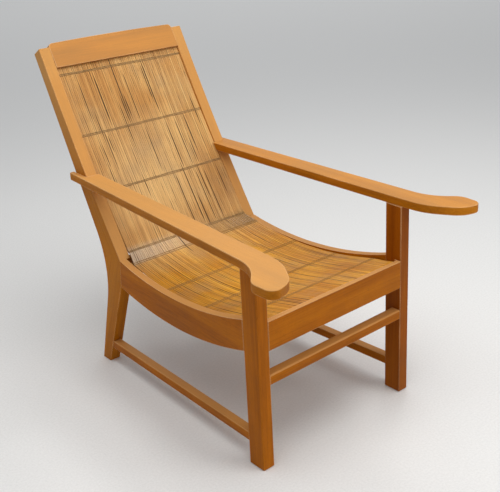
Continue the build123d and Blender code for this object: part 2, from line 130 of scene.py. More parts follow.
def mat_line():
    """Front face of the mat as points (y, z), from the top end to the front end."""
    top = on_rake(MAT_TOP_ALONG, MAT_TOP_BEHIND)
    corner = on_rake(CREASE_ALONG, CREASE_BEHIND)
    forward = Vector((-math.cos(BAND_SLOPE), -math.sin(BAND_SLOPE)))
    band_end = corner + forward * BAND_WIDTH
    rise = Vector((-math.cos(FRONT_SLOPE), math.sin(FRONT_SLOPE)))
    front_end = Vector((FRONT_END_Y, FRONT_END_Z))
    straight_end = front_end - rise * FRONT_RUN
    chord = straight_end - band_end
    sag = chord.length / 2 * math.tan(rise.angle(chord) / 2)
    back = arc(top, corner, MAT_BOW, BACK_STEPS)[:-1]
    last = corner + (back[-1] - corner).normalized() * CREASE_EASE
    crease = eased_corner(last, corner, corner + forward * CREASE_EASE, CREASE_STEPS)
    band = [band_end + (crease[-1] - band_end) * share for share in BAND_SHARES]
    seat = arc(band_end, straight_end, sag, SEAT_STEPS)
    steps = range(1, FRONT_STEPS + 1)
    front = [straight_end + rise * FRONT_RUN * step / FRONT_STEPS for step in steps]
    return back + crease + band + seat + front


def stations(line):
    """Each point of the line with its distance from the start and its outward normal."""
    found = []
    distance = 0
    for number, point in enumerate(line):
        before = line[max(number - 1, 0)]
        after = line[min(number + 1, len(line) - 1)]
        tangent = (after - before).normalized()
        distance += (point - before).length
        found.append((distance, point, Vector((tangent.y, -tangent.x))))
    return found


def at_distance(line, wanted):
    """Point, tangent and outward normal at a distance down the line."""
    run = stations(line)
    for (start, point, _), (end, after, _) in zip(run, run[1:]):
        if end >= wanted:
            tangent = (after - point).normalized()
            place = point + (after - point) * ((wanted - start) / (end - start))
            return place, tangent, Vector((tangent.y, -tangent.x))


def row_distance(line, number):
    """How far down the mat a row of twine of the CAD is."""
    low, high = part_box("twine_row_" + str(number))
    _, y, z = (low + high) / 2
    run = stations(line)
    found = []
    for (start, point, _), (end, after, _) in zip(run, run[1:]):
        foot, share = intersect_point_line(Vector((y, z)), point, after)
        if 0 <= share <= 1:
            found.append(((foot - Vector((y, z))).length, start + share * (end - start)))
    return min(found)[1]


def half_width(y):
    """Half the width of the mat, which spreads over the band and the seat."""
    for (front, front_half), (rear, rear_half) in zip(MAT_EDGE, MAT_EDGE[1:]):
        if y <= rear:
            return front_half + (rear_half - front_half) * (y - front) / (rear - front)


def wander(chance, size, wavelengths):
    """A smooth random curve of about that size, as a function of one distance."""
    waves = [(chance.uniform(0.4, 1), w, chance.uniform(0, 2 * math.pi)) for w in wavelengths]
    total = sum(amount for amount, _, _ in waves)

    def curve(distance):
        found = 0
        for amount, wavelength, start in waves:
            found += amount * math.sin(2 * math.pi * distance / wavelength + start)
        return size * found / total

    return curve


def new_piece(name, points, faces, material, smooth=True):
    """A mesh object of one material, in the scene."""
    mesh = bpy.data.meshes.new(name)
    mesh.from_pydata(points, [], faces)
    mesh.update()
    mesh.materials.append(material)
    if smooth:
        mesh.shade_smooth()
    piece = bpy.data.objects.new(name, mesh)
    bpy.context.scene.collection.objects.link(piece)
    return piece


def tube_faces(rings, sides, start):
    """Faces of a closed tube of rings, with both its ends closed."""
    faces = []
    for ring in range(rings - 1):
        for side in range(sides):
            a = start + ring * sides + side
            b = start + ring * sides + (side + 1) % sides
            faces.append((a, b, b + sides, a + sides))
    faces.append(tuple(start + side for side in reversed(range(sides))))
    last = start + (rings - 1) * sides
    faces.append(tuple(last + side for side in range(sides)))
    return faces


# The mat of strips


STRIPS = 68
STRIP_THICKNESS = 0.0021
# How far the crowns of the strips lie behind the mat's front face
STRIP_SINK = 0.0002
# The least and the most width of a strip, as a share of the mean
STRIP_WIDTHS = (0.72, 1.28)
LINES_SEED = 7
STRIPS_SEED = 19

# Smooth random curves, each with its size and its wavelengths. Down the mat: where the
# line between two strips is, how wide its slit is, and how dirty.
LINE_WANDER = (0.00075, (0.21, 0.37, 0.8))
SLIT_WANDER = (0.0004, (0.09, 0.17, 0.41))
DIRT_WANDER = (0.35, (0.11, 0.27, 0.6))
# How dirty the seams are across and down the mat as a whole
DIRT_ACROSS = (0.30, (0.55, 0.9, 1.9))
DIRT_DOWN = (0.30, (0.27, 0.45, 0.8))
# How high a strip lies and how it tilts down the mat, and how the strips' shade changes
# from one to the next, with wavelengths in strips
LIFT_WANDER = (0.00022, (0.13, 0.31, 0.7))
TILT_WANDER = (0.035, (0.2, 0.5))
SHADE_WANDER = (0.16, (5.3, 9.1, 23))

# The dark line between two strips: its least and most width, the most by which the strips
# really stand apart there, and how blunt the ends of a slit are (less is blunter)
LEAST_SLIT = 0.0003
MOST_SLIT = 0.00115
MOST_OPEN = 0.00014
SLIT_TAPER = 0.7

# Slits that the photo shows: where across, from and to down the mat, and how wide
SLITS = (
    (-0.185, -0.010, 0.215, 0.0017),
    (-0.043, 0.060, 0.225, 0.0013),
    (0.325, 0.035, 0.210, 0.0016),
    (-0.487, 0.050, 0.215, 0.0010),
    (0.510, 0.250, 0.395, 0.0016),
    (0.340, 0.235, 0.400, 0.0009),
    (-0.022, 0.240, 0.395, 0.0009),
    (0.495, 0.420, 0.595, 0.0019),
    (0.155, 0.425, 0.590, 0.0018),
    (0.300, 0.430, 0.590, 0.0014),
    (0.640, 0.430, 0.590, 0.0012),
)
# Random slits: how many, and the ranges of their starts, lengths and widths
RANDOM_SLITS = (
    (46, (0, 1.15), (0.05, 0.16), (0.0005, 0.0012)),
    (34, (0.70, 1.12), (0.12, 0.30), (0.0005, 0.0011)),
)

# Dirt in a seam: the range of its strength, and the mean of the factor that varies it
# over the mat
SEAM_DIRT_RANGE = (0.1, 0.9)
SEAM_DIRT_MEAN = 0.85

# How much painted shade a slit puts on the edges beside it on the back, and on the seat, where
# the seams are finer; how steeply that grows with the slit's width; where the seat starts down
# the mat, and over how much the one becomes the other
BACK_SLIT_DARK = 6.5
SEAT_SLIT_DARK = 2.0
SLIT_DARK_POWER = 2.2
SEAT_FROM = 0.62
SEAT_EASE = 0.10

# The corner beside the right arm, where the slits are faint: its limit across, from and to
# down the mat, over how much it eases in, and how much of the slits' painted shade it takes
# away
TIGHT_ACROSS = -0.20
TIGHT_FROM = 0.40
TIGHT_TO = 0.72
TIGHT_EASE = 0.05
TIGHT_SHARE = 0.8

# Round a strip: across it, as shares of its width, how far behind its crown, as shares
# of its thickness, and how much of the seam's dirt and painted shade is there
STRIP_PROFILE = (
    (-0.5, 0.36, 0.36),
    (-0.38, 0.09, 0.09),
    (-0.14, 0.0, 0.0),
    (0.14, 0.0, 0.0),
    (0.38, 0.09, 0.09),
    (0.5, 0.36, 0.36),
    (0.49, 1.0, 0.28),
    (0.37, 1.0, 0.02),
    (-0.37, 1.0, 0.02),
    (-0.49, 1.0, 0.28),
)
# How dark the backs of the strips are everywhere
BACK_GRIME = 0.10
# The middle of the strips' shades, and how far a strip may be from its neighbourhood's
MIDDLE_SHADE = 0.5
SHADE_SPREAD = 0.24

# The keel that closes the gap between an outer strip and the stile: from where down the
# mat, over how much it comes in, to where, and how deep it is
KEEL_START = 0.455
KEEL_EASE = 0.05
KEEL_END = 0.608
KEEL_DEPTH = 0.0040


class Boundaries:
    """The lines between neighbouring strips, with the slit, the dirt and the painted shade
    along each.
    """

    def __init__(self):
        chance = random.Random(LINES_SEED)
        widths = [chance.uniform(*STRIP_WIDTHS) for _ in range(STRIPS)]
        total = sum(widths)
        self.places = [-1]
        for width in widths:
            self.places.append(self.places[-1] + 2 * width / total)
        self.wanders = [wander(chance, *LINE_WANDER) for _ in self.places]
        self.widenings = [wander(chance, *SLIT_WANDER) for _ in self.places]
        self.dirt = [chance.uniform(*SEAM_DIRT_RANGE) for _ in self.places]
        self.dirt_drift = [wander(chance, *DIRT_WANDER) for _ in self.places]
        self.slits = [[] for _ in self.places]
        for across, start, end, width in SLITS:
            self.slits[self.nearest(across)].append((start, end, width))
        for count, starts, runs, slit_widths in RANDOM_SLITS:
            for _ in range(count):
                start = chance.uniform(*starts)
                end = start + chance.uniform(*runs)
                width = chance.uniform(*slit_widths)
                self.slits[chance.randrange(2, STRIPS - 1)].append((start, end, width))
        self.dirt_across = wander(chance, *DIRT_ACROSS)
        self.dirt_down = wander(chance, *DIRT_DOWN)

    def nearest(self, across):
        """Number of the line that is nearest to that place across."""
        return min(range(len(self.places)), key=lambda j: abs(self.places[j] - across))

    def across(self, number, distance, half):
        """Where the line is across the chair."""
        edge = number in (0, STRIPS)
        return self.places[number] * half + (0 if edge else self.wanders[number](distance))

    def slit(self, number, distance):
        """How wide the dark line is between two strips."""
        width = LEAST_SLIT + max(0, self.widenings[number](distance))
        for start, end, most in self.slits[number]:
            if start < distance < end:
                along = math.sin(math.pi * (distance - start) / (end - start))
                width += most * along ** SLIT_TAPER
        return min(width, MOST_SLIT)

    def gap(self, number, distance):
        """How far apart the strips stand: less than a slit looks, as its edges carry dirt and
        painted shade.
        """
        return 0 if number in (0, STRIPS) else min(self.slit(number, distance), MOST_OPEN)

    def tight(self, number, distance):
        """1 in the corner beside the right arm, where the slits are faint, and 0 elsewhere."""
        inside = (TIGHT_ACROSS - self.places[number]) / TIGHT_EASE
        past = (distance - TIGHT_FROM) / TIGHT_EASE
        before = (TIGHT_TO - distance) / TIGHT_EASE
        return max(0, min(1, inside, past, before))

    def seam(self, number, distance):
        """How dark the edges beside the line are: dirt, and painted shade that grows beside a
        wide slit.
        """
        if number in (0, STRIPS):
            return 0
        open_share = (self.slit(number, distance) - LEAST_SLIT) / (MOST_SLIT - LEAST_SLIT)
        local = SEAM_DIRT_MEAN + self.dirt_across(self.places[number])
        local += self.dirt_down(distance)
        dirt = self.dirt[number] + self.dirt_drift[number](distance)
        on_seat = max(0, min(1, (distance - SEAT_FROM) / SEAT_EASE))
        # Painted shade beside a slit, for the shade inside the gap
        slit_dark = BACK_SLIT_DARK + (SEAT_SLIT_DARK - BACK_SLIT_DARK) * on_seat
        slit_dark *= 1 - TIGHT_SHARE * self.tight(number, distance)
        return dirt * local + slit_dark * open_share ** SLIT_DARK_POWER


def keel(number, distance):
    """How much deeper a strip is: only the two outer ones have a keel."""
    if number not in (0, STRIPS - 1):
        return 0
    rise = (distance - KEEL_START) / KEEL_EASE
    # Its end slopes as far as it is deep
    fall = (KEEL_END - distance) / KEEL_DEPTH
    return KEEL_DEPTH * max(0, min(rise, fall, 1))


def strip_mat(material, lines):
    """One domed strip beside another, each with its own width, height and tilt."""
    chance = random.Random(STRIPS_SEED)
    run = stations(mat_line())
    points, faces, shades, downs, deeps = [], [], [], [], []
    groups = wander(chance, *SHADE_WANDER)
    for number in range(STRIPS):
        lift = wander(chance, *LIFT_WANDER)
        tilt = wander(chance, *TILT_WANDER)
        shade = MIDDLE_SHADE + groups(number) + chance.uniform(-SHADE_SPREAD, SHADE_SPREAD)
        start = len(points)
        for distance, place, normal in run:
            half = half_width(place.x)
            left = lines.across(number, distance, half) + lines.gap(number, distance) / 2
            right = lines.across(number + 1, distance, half)
            right -= lines.gap(number + 1, distance) / 2
            middle, width = (left + right) / 2, right - left
            seams = lines.seam(number, distance), lines.seam(number + 1, distance)
            for across, depth, dark in STRIP_PROFILE:
                at_back = depth == 1
                out = lift(distance) - STRIP_SINK - depth * STRIP_THICKNESS
                out += across * width * tilt(distance)
                out -= keel(number, distance) if at_back else 0
                y, z = place + normal * out
                points.append((middle + across * width, y, z))
                shades.append(shade)
                downs.append(distance)
                # Dust on the strip's back; dirt and painted shade along its edges
                deeps.append(BACK_GRIME * at_back + dark * max(0, seams[across > 0]))
        faces += tube_faces(len(run), len(STRIP_PROFILE), start)
    piece = new_piece("split_strips", points, faces, material)
    for name, values in (("shade", shades), ("down", downs), ("deep", deeps)):
        piece.data.attributes.new(name, "FLOAT", "POINT").data.foreach_set("value", values)
    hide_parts("mat_strips")
    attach(piece, "root")


# The rows of twine


TWINE_ROWS = 8
FIRST_SEAT_ROW = 5
TWINE_WIDTH = 0.0024
TWINE_DEPTH = 0.0015
TWINE_SIDES = 6
# Rings of a cord per strip, and how closely the cord hugs the strip (less is closer)
TWINE_STEPS = 4
TWINE_HUG = 0.6
# How far the cords lie behind the strips' faces
TWINE_SINK = 0.0001
# How far a pair of cords is from the middle of its row, how far a cord sways, and the
# smooth random curve of the pair
PAIR_SET = 0.0021
SEAT_PAIR_SET = 0.0036
PAIR_SWAY = 0.0010
PAIR_DRIFT = (0.0008, (0.08, 0.19, 0.33))
# A row's seed is this plus its number
TWINE_SEED = 100


def twine_row(number, material, lines):
    """Two pairs of cords that cross between the strips, one in front and one behind."""
    chance = random.Random(TWINE_SEED + number)
    line = mat_line()
    distance = row_distance(line, number)
    place, tangent, normal = at_distance(line, distance)
    half = half_width(place.x)
    edges = [lines.across(j, distance, half) for j in range(STRIPS + 1)]
    swing = (STRIP_THICKNESS + TWINE_DEPTH) / 2
    set_off = SEAT_PAIR_SET if number >= FIRST_SEAT_ROW else PAIR_SET
    rings = STRIPS * TWINE_STEPS + 1
    points, faces = [], []
    for pair in (-1, 1):
        drift = wander(chance, *PAIR_DRIFT)
        for cord in range(2):
            start = len(points)
            for ring in range(rings):
                strip = min(ring // TWINE_STEPS, STRIPS - 1)
                share = ring / TWINE_STEPS - strip
                x = edges[strip] + (edges[strip + 1] - edges[strip]) * share
                # Half a turn per strip: in front of one strip's middle, behind the next's
                turn = math.pi * (strip + share - 0.5 + cord)
                front = math.cos(turn)
                out = math.copysign(abs(front) ** TWINE_HUG, front) * swing
                out -= STRIP_THICKNESS / 2
                along = pair * set_off + PAIR_SWAY * math.sin(turn) + drift(x)
                middle = place + tangent * along + normal * (out - TWINE_SINK)
                for side in range(TWINE_SIDES):
                    angle = 2 * math.pi * side / TWINE_SIDES
                    spot = middle + tangent * (math.cos(angle) * TWINE_WIDTH / 2)
                    spot = spot + normal * (math.sin(angle) * TWINE_DEPTH / 2)
                    points.append((x, spot.x, spot.y))
            faces += tube_faces(rings, TWINE_SIDES, start)
    piece = new_piece("twined_row_" + str(number), points, faces, material)
    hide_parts("twine_row_" + str(number))
    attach(piece, "root")


# Materials: helpers


class Nodes:
    """A material's node tree, with short calls for its common nodes."""

    def __init__(self, name):
        self.material = bpy.data.materials.new(name)
        self.material.use_nodes = True
        self.tree = self.material.node_tree
        self.shader = self.tree.nodes["Principled BSDF"]

    def add(self, kind, inputs=(), **settings):
        """A node with these settings; an input is a constant or another node's output."""
        node = self.tree.nodes.new(kind)
        for name, value in settings.items():
            setattr(node, name, value)
        for name, value in dict(inputs).items():
            self.put(node, name, value)
        return node

    def put(self, node, name, value):
        """Set an input to a constant, or link another node's output to it."""
        if isinstance(value, bpy.types.NodeSocket):
            self.tree.links.new(value, node.inputs[name])
        else:
            node.inputs[name].default_value = value

    def math(self, operation, a, b=0.0):
        return self.add("ShaderNodeMath", {0: a, 1: b}, operation=operation).outputs[0]

    def times(self, a, b):
        return self.math("MULTIPLY", a, b)

    def plus(self, a, b):
        return self.math("ADD", a, b)

    def minus(self, a, b):
        return self.math("SUBTRACT", a, b)

    def where(self):
        return self.add("ShaderNodeTexCoord").outputs["Object"]

    def split(self, vector):
        return self.add("ShaderNodeSeparateXYZ", {"Vector": vector}).outputs

    def join(self, x, y, z):
        return self.add("ShaderNodeCombineXYZ", {0: x, 1: y, 2: z}).outputs[0]

    def attribute(self, name):
        return self.add("ShaderNodeAttribute", attribute_name=name).outputs["Fac"]

    def grey(self, value):
        inputs = {0: value, 1: value, 2: value}
        return self.add("ShaderNodeCombineColor", inputs).outputs[0]

    def noise(self, vector, scale, detail=3.0, roughness=0.5, distortion=0.0):
        inputs = {
            "Vector": vector,
            "Scale": scale,
            "Detail": detail,
            "Roughness": roughness,
            "Distortion": distortion,
        }
        return self.add("ShaderNodeTexNoise", inputs).outputs["Fac"]

    def spread(self, value, low, high, to_low=0.0, to_high=1.0):
        """The value, with its range from low to high mapped to the other range."""
        inputs = {"Value": value, 1: low, 2: high, 3: to_low, 4: to_high}
        return self.add("ShaderNodeMapRange", inputs).outputs["Result"]

    def ramp(self, value, positions, colours):
        node = self.add("ShaderNodeValToRGB", {"Fac": value})
        elements = node.color_ramp.elements
        while len(elements) < len(colours):
            elements.new(0.5)
        for element, position, colour in zip(elements, positions, colours):
            element.position = position
            element.color = (*colour, 1)
        return node.outputs["Color"]

    def mix(self, share, a, b, blend="MIX"):
        """That share of colour b, and for the rest colour a."""
        node = self.add("ShaderNodeMix", data_type="RGBA", blend_type=blend)
        self.put(node, 0, share)
        self.put(node, 6, a if isinstance(a, bpy.types.NodeSocket) else (*a, 1))
        self.put(node, 7, b if isinstance(b, bpy.types.NodeSocket) else (*b, 1))
        return node.outputs[2]

    def tinted(self, colour, tint):
        return self.mix(1.0, colour, tint, "MULTIPLY")

    def surface(self, colour, roughness):
        self.put(self.shader, "Base Color", colour)
        self.put(self.shader, "Roughness", roughness)

    def relief(self, height, strength, depth):
        inputs = {"Strength": strength, "Distance": depth, "Height": height}
        bump = self.add("ShaderNodeBump", inputs)
        self.put(self.shader, "Normal", bump.outputs[0])


# Most values of one noise, and of two noises together, lie between these
NOISE_SPAN = (0.3, 0.7)
PAIR_SPAN = (0.7, 1.3)
# The high part of a noise, which makes separate blotches
BLOTCH_SPAN = (0.45, 0.7)


# Wood


# Dark, middle and light tones of the wood, and where they are on its ramp
TEAK = ((0.20, 0.049, 0.001), (0.40, 0.112, 0.001), (0.54, 0.175, 0.003))
# The far front leg's tones: a redder teak, made darker by painted shade
SHADED_RED_TEAK = ((0.14, 0.028, 0.001), (0.28, 0.068, 0.001), (0.40, 0.115, 0.004))
PALE_TEAK = ((0.28, 0.080, 0.002), (0.46, 0.150, 0.004), (0.58, 0.215, 0.012))
SLAT_WOOD = ((0.18, 0.070, 0.015), (0.28, 0.115, 0.027), (0.36, 0.165, 0.045))
WOOD_STOPS = (0.24, 0.50, 0.74)
# How much of the figure is broad bands, and how much fine streaks
BROAD_SHARE = 0.55
STREAK_SHARE = 0.45
# How dark and how light the clouds make the wood
CLOUD_SHADE = (0.86, 1.1)
# Which part of a noise makes the pores, how much of the dark tone is left in them, and
# how much they show
PORE_SPAN = (0.60, 0.70)
PORE_DARK = 0.45
PORE_SHARE = 0.38
# How far the grain of each piece is moved against that of the one before
GRAIN_SHIFT = (0.37, 0.61, 1.7)

# Where the wood faces up it is paler, partly bleached by light and use and partly painted
# sheen
# High above the floor it is paler by painted light
FADED_LIT_WOOD = (0.74, 0.415, 0.150)
FACING_UP = (0.05, 0.55)
PAINTED_LIGHT_FROM = 0.58
PAINTED_LIGHT_TO = 0.90
PAINTED_LIGHT_MOST = 0.95
# Where the finish is rubbed off along the edges and a highlight is painted on their rounding,
# how far in from them, by how much the rounded surface turns from the flat one there, and how
# patchy the wear is
RUBBED_HIGHLIT_WOOD = (0.97, 0.69, 0.39)
EDGE_MARK_WIDTH = 0.0034
EDGE_MARK_TURN = (0.995, 0.90)
EDGE_MARK_SAMPLES = 6
EDGE_MARK_PATCHES = (0.38, 0.62, 0.15, 0.85)
# How much of the wood's own colour stays in the rubbed and highlit colour of the arrises, and
# in the bleached colour with its painted sheen and light
RUBBED_HIGHLIT_OWN = 0.25
FADED_LIT_OWN = 0.35

WOOD_SHINE = 0.08
WOOD_ROUGHNESS = (0.36, 0.54)
# The strength and the depth of the relief, and what it is made of
WOOD_RELIEF = 0.28
WOOD_RELIEF_DEPTH = 0.0006
FINE_RELIEF = 0.6
STREAK_RELIEF = 0.8
PORE_RELIEF = 0.5

# Node names with the way the grain runs, the tones, and how far the wood is bleached and
# painted with sheen and light
WOODEN = {
    # The far front leg gets painted shade through its darker tones
    "front_leg_left": ("Z", SHADED_RED_TEAK, 0.6),
    "front_leg": ("Z", TEAK, 0.8),
    "rear_leg": ("stile", PALE_TEAK, 0.88),
    "side_rail": ("Y", TEAK, 0.85),
    "side_stretcher": ("Y", TEAK, 0.7),
    "arm_left": ("Y", PALE_TEAK, 0.52),
    "arm": ("Y", PALE_TEAK, 0.85),
    "front_rail": ("X", TEAK, 0.8),
    "rear_rail": ("X", TEAK, 0.8),
    "crest_rail": ("X", TEAK, 0.68),
    "front_stretcher": ("X", TEAK, 0.6),
    "back_slat": ("X", SLAT_WOOD, 0.3),
    "bend_slat": ("X", SLAT_WOOD, 0.3),
    "seat_slat": ("X", SLAT_WOOD, 0.3),
}

# The slight rounding of the edges, from which angle an edge gets it, and how near points
# are to one another to be joined before it
EDGE_ROUNDING = 0.0006
EDGE_SEGMENTS = 2
EDGE_ANGLE = math.radians(28)
JOIN_WITHIN = 0.00001


def grain_vector(nodes, grain, seed):
    """Coordinates whose third number runs along the grain."""
    x, y, z = nodes.split(nodes.where())
    if grain == "stile":
        above = nodes.minus(z, SEAT_JOINT_Z)
        back = nodes.times(nodes.math("MAXIMUM", above, 0.0), -math.tan(RAKE))
        foot = nodes.times(nodes.math("MINIMUM", above, 0.0), math.tan(FOOT_SPLAY))
        y = nodes.plus(y, nodes.plus(back, foot))
    order = {"X": (y, z, x), "Y": (x, z, y), "Z": (x, y, z), "stile": (x, y, z)}[grain]
    place = tuple(seed * shift for shift in GRAIN_SHIFT)
    inputs = {"Vector": nodes.join(*order), "Location": place}
    return nodes.add("ShaderNodeMapping", inputs).outputs[0]


def stretched(nodes, vector, share):
    """Coordinates that change by only that share along the grain."""
    inputs = {"Vector": vector, "Scale": (1, 1, share)}
    return nodes.add("ShaderNodeMapping", inputs).outputs[0]


def edge_wear_and_highlight(nodes):
    """1 along the arrises, where the finish is rubbed and a highlight is painted, and 0
    elsewhere.
    """
    bevel = nodes.add("ShaderNodeBevel", {"Radius": EDGE_MARK_WIDTH}, samples=EDGE_MARK_SAMPLES)
    flat = nodes.add("ShaderNodeNewGeometry").outputs["Normal"]
    inputs = {0: bevel.outputs[0], 1: flat}
    facing = nodes.add("ShaderNodeVectorMath", inputs, operation="DOT_PRODUCT")
    return nodes.spread(facing.outputs["Value"], *EDGE_MARK_TURN)


def bleached_and_lit(nodes):
    """How much the wood is paled: bleached and painted sheen where it faces up, painted light
    high above the floor.
    """
    normal = nodes.add("ShaderNodeNewGeometry").outputs["Normal"]
    upward = nodes.split(normal)[2]
    height = nodes.split(nodes.where())[2]
    high = nodes.spread(height, PAINTED_LIGHT_FROM, PAINTED_LIGHT_TO, to_high=PAINTED_LIGHT_MOST)
    return nodes.math("MAXIMUM", nodes.spread(upward, *FACING_UP), high)


def wood(name, grain, seed, tones, fade_and_light):
    """Oiled teak: broad figure, fine streaks, short open pores, arrises rubbed pale with
    painted highlight, tops bleached with painted sheen, and painted light high up.
    """
    nodes = Nodes(name)
    vector = grain_vector(nodes, grain, seed)
    broad = nodes.noise(stretched(nodes, vector, 0.06), 22, detail=2, distortion=0.8)
    streaks = stretched(nodes, vector, 0.02)
    streaks = nodes.noise(streaks, 260, detail=4, roughness=0.65, distortion=0.2)
    fine = nodes.noise(stretched(nodes, vector, 0.03), 900, detail=2, roughness=0.6)
    cloud = nodes.noise(vector, 5.5, roughness=0.6)
    pores = nodes.noise(stretched(nodes, vector, 0.05), 1500, detail=1, roughness=0.4)
    figure = nodes.plus(nodes.times(broad, BROAD_SHARE), nodes.times(streaks, STREAK_SHARE))
    colour = nodes.ramp(figure, WOOD_STOPS, tones)
    shade = nodes.spread(cloud, *NOISE_SPAN, *CLOUD_SHADE)
    colour = nodes.tinted(colour, nodes.grey(shade))
    pore = nodes.spread(pores, *PORE_SPAN)
    pore_colour = tuple(c * PORE_DARK for c in tones[0])
    colour = nodes.mix(nodes.times(pore, PORE_SHARE), colour, pore_colour)
    # Bleaching and painted sheen on upward faces, painted light on high parts
    faded_and_lit = nodes.times(bleached_and_lit(nodes), fade_and_light)
    colour = nodes.mix(faded_and_lit, colour, nodes.mix(FADED_LIT_OWN, FADED_LIT_WOOD, colour))
    # Pale arrises: rubbed finish and painted highlight
    rubbed_and_highlit = nodes.times(edge_wear_and_highlight(nodes), nodes.spread(cloud, *EDGE_MARK_PATCHES))
    colour = nodes.mix(rubbed_and_highlit, colour, nodes.mix(RUBBED_HIGHLIT_OWN, RUBBED_HIGHLIT_WOOD, colour))
    rough = nodes.spread(nodes.plus(cloud, fine), *PAIR_SPAN, *WOOD_ROUGHNESS)
    nodes.surface(colour, rough)
    height = nodes.plus(nodes.times(fine, FINE_RELIEF), nodes.times(streaks, STREAK_RELIEF))
    height = nodes.minus(height, nodes.times(pore, PORE_RELIEF))
    nodes.relief(height, WOOD_RELIEF, WOOD_RELIEF_DEPTH)
    nodes.put(nodes.shader, "Specular IOR Level", WOOD_SHINE)
    return nodes.material


def dress_frame():
    """Wood on every solid piece that shows, with the arrises slightly rounded."""
    for seed, name in enumerate(sorted(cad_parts)):
        kind = next((k for k in WOODEN if name.startswith(k)), None)
        if kind is None:
            continue
        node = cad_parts[name]
        grain, tones, fade_and_light = WOODEN[kind]
        material = wood(name + "_wood", grain, seed + 1, tones, fade_and_light)
        for slot in node.material_slots:
            slot.material = material
        node.modifiers.new("joined", "WELD").merge_threshold = JOIN_WITHIN
        ease = node.modifiers.new("eased", "BEVEL")
        ease.width = EDGE_ROUNDING
        ease.segments = EDGE_SEGMENTS
        ease.limit_method = "ANGLE"
        ease.angle_limit = EDGE_ANGLE
        ease.harden_normals = False
        node.modifiers.new("flat_faces", "WEIGHTED_NORMAL").keep_sharp = True


# Strips and twine


# Dark, middle and pale tones of the split cane, and where they are on its ramp
BACK_CANE = ((0.44, 0.215, 0.062), (0.64, 0.350, 0.116), (0.80, 0.490, 0.185))
SEAT_CANE = ((0.41, 0.160, 0.014), (0.64, 0.275, 0.020), (0.82, 0.415, 0.050))
CANE_STOPS = (0.15, 0.50, 0.85)
# How much of a strip's tone is its own shade, and how much changes slowly along it
SHADE_SHARE = 0.6
SLOW_SHARE = 0.4
# From and to down the mat the back's colour becomes the seat's
SEAT_COLOUR = (0.60, 0.78)
# Broad patches that are browner or paler
PATCH_TINTS = ((0.87, 0.77, 0.64), (1.0, 1.0, 1.0), (1.08, 1.12, 1.12))
PATCH_STOPS = (0.34, 0.50, 0.66)
# Blotches that have gone grey, and how grey they are
GREY_CANE = (0.36, 0.245, 0.135)
GREY_SHARE = 0.35
# Where backs have leaned: how it comes and goes down the mat, how far to the right of the
# chair's middle it is, how it fades to the sides, its colour and its strength
LEANED_ON_TOP = (0.17, 0.32)
LEANED_ON_FOOT = (0.60, 0.45)
LEANED_ON_RIGHT = 0.03
LEANED_ON_SIDES = (0.22, 0.07)
LEANED_ON_CANE = (0.80, 0.53, 0.235)
LEANED_ON_SHARE = 0.42
# The band in front of the crease, with how it comes and goes down the mat. It is rubbed
# pale with a painted sheen on the right, and stained on the left: from and to which x, and how
# much at each.
BAND_REAR = (0.585, 0.61)
BAND_FRONT = (0.665, 0.65)
BAND_SHINE = 0.12
RUBBED_SHEEN_CANE = (0.55, 0.47, 0.37)
RUBBED_SHEEN_FROM_TO = (-0.22, 0.08, 0.62, 0.05)
STAINED_CANE = (0.27, 0.148, 0.046)
STAINED_FROM_TO = (0.02, 0.20, 0.0, 0.78)
# The dirt and painted shade in the seams: their colour, from and to which depth they grow, and
# their strength
SEAM_DIRT_AND_SHADE = (0.050, 0.022, 0.006)
SEAM_DARK_SPAN = (0.05, 0.33)
SEAM_DARK_MOST = 0.93

CANE_SHINE = 0.22
CANE_ROUGHNESS = (0.32, 0.5)
CANE_RELIEF = 0.25
CANE_RELIEF_DEPTH = 0.0004
# How dark and how light the fibres are, and how slowly they change along a strip
FIBRE_SHADE = (0.80, 1.1)
FIBRE_STRETCH = 0.02

# Dark, middle and light tones of the twine, and where they are on its ramp
BROWN_TWINE = ((0.165, 0.094, 0.034), (0.32, 0.190, 0.071), (0.46, 0.290, 0.120))
WORN_TWINE = ((0.21, 0.110, 0.030), (0.35, 0.185, 0.052), (0.48, 0.270, 0.090))
TWINE_STOPS = (0.3, 0.55, 0.75)
# How much the pale patches of wear show
TWINE_PALE_SHARE = 0.45
TWINE_ROUGHNESS = (0.7, 0.9)
TWINE_RELIEF = 0.6
TWINE_RELIEF_DEPTH = 0.0003


def leaned_on(nodes, x, down):
    """How much the strips are paled by leaning: most in the middle of the back."""
    below_top = nodes.spread(down, *LEANED_ON_TOP)
    lengthwise = nodes.times(below_top, nodes.spread(down, *LEANED_ON_FOOT))
    aside = nodes.math("ABSOLUTE", nodes.plus(x, LEANED_ON_RIGHT))
    amount = nodes.times(lengthwise, nodes.spread(aside, *LEANED_ON_SIDES))
    return nodes.times(amount, LEANED_ON_SHARE)


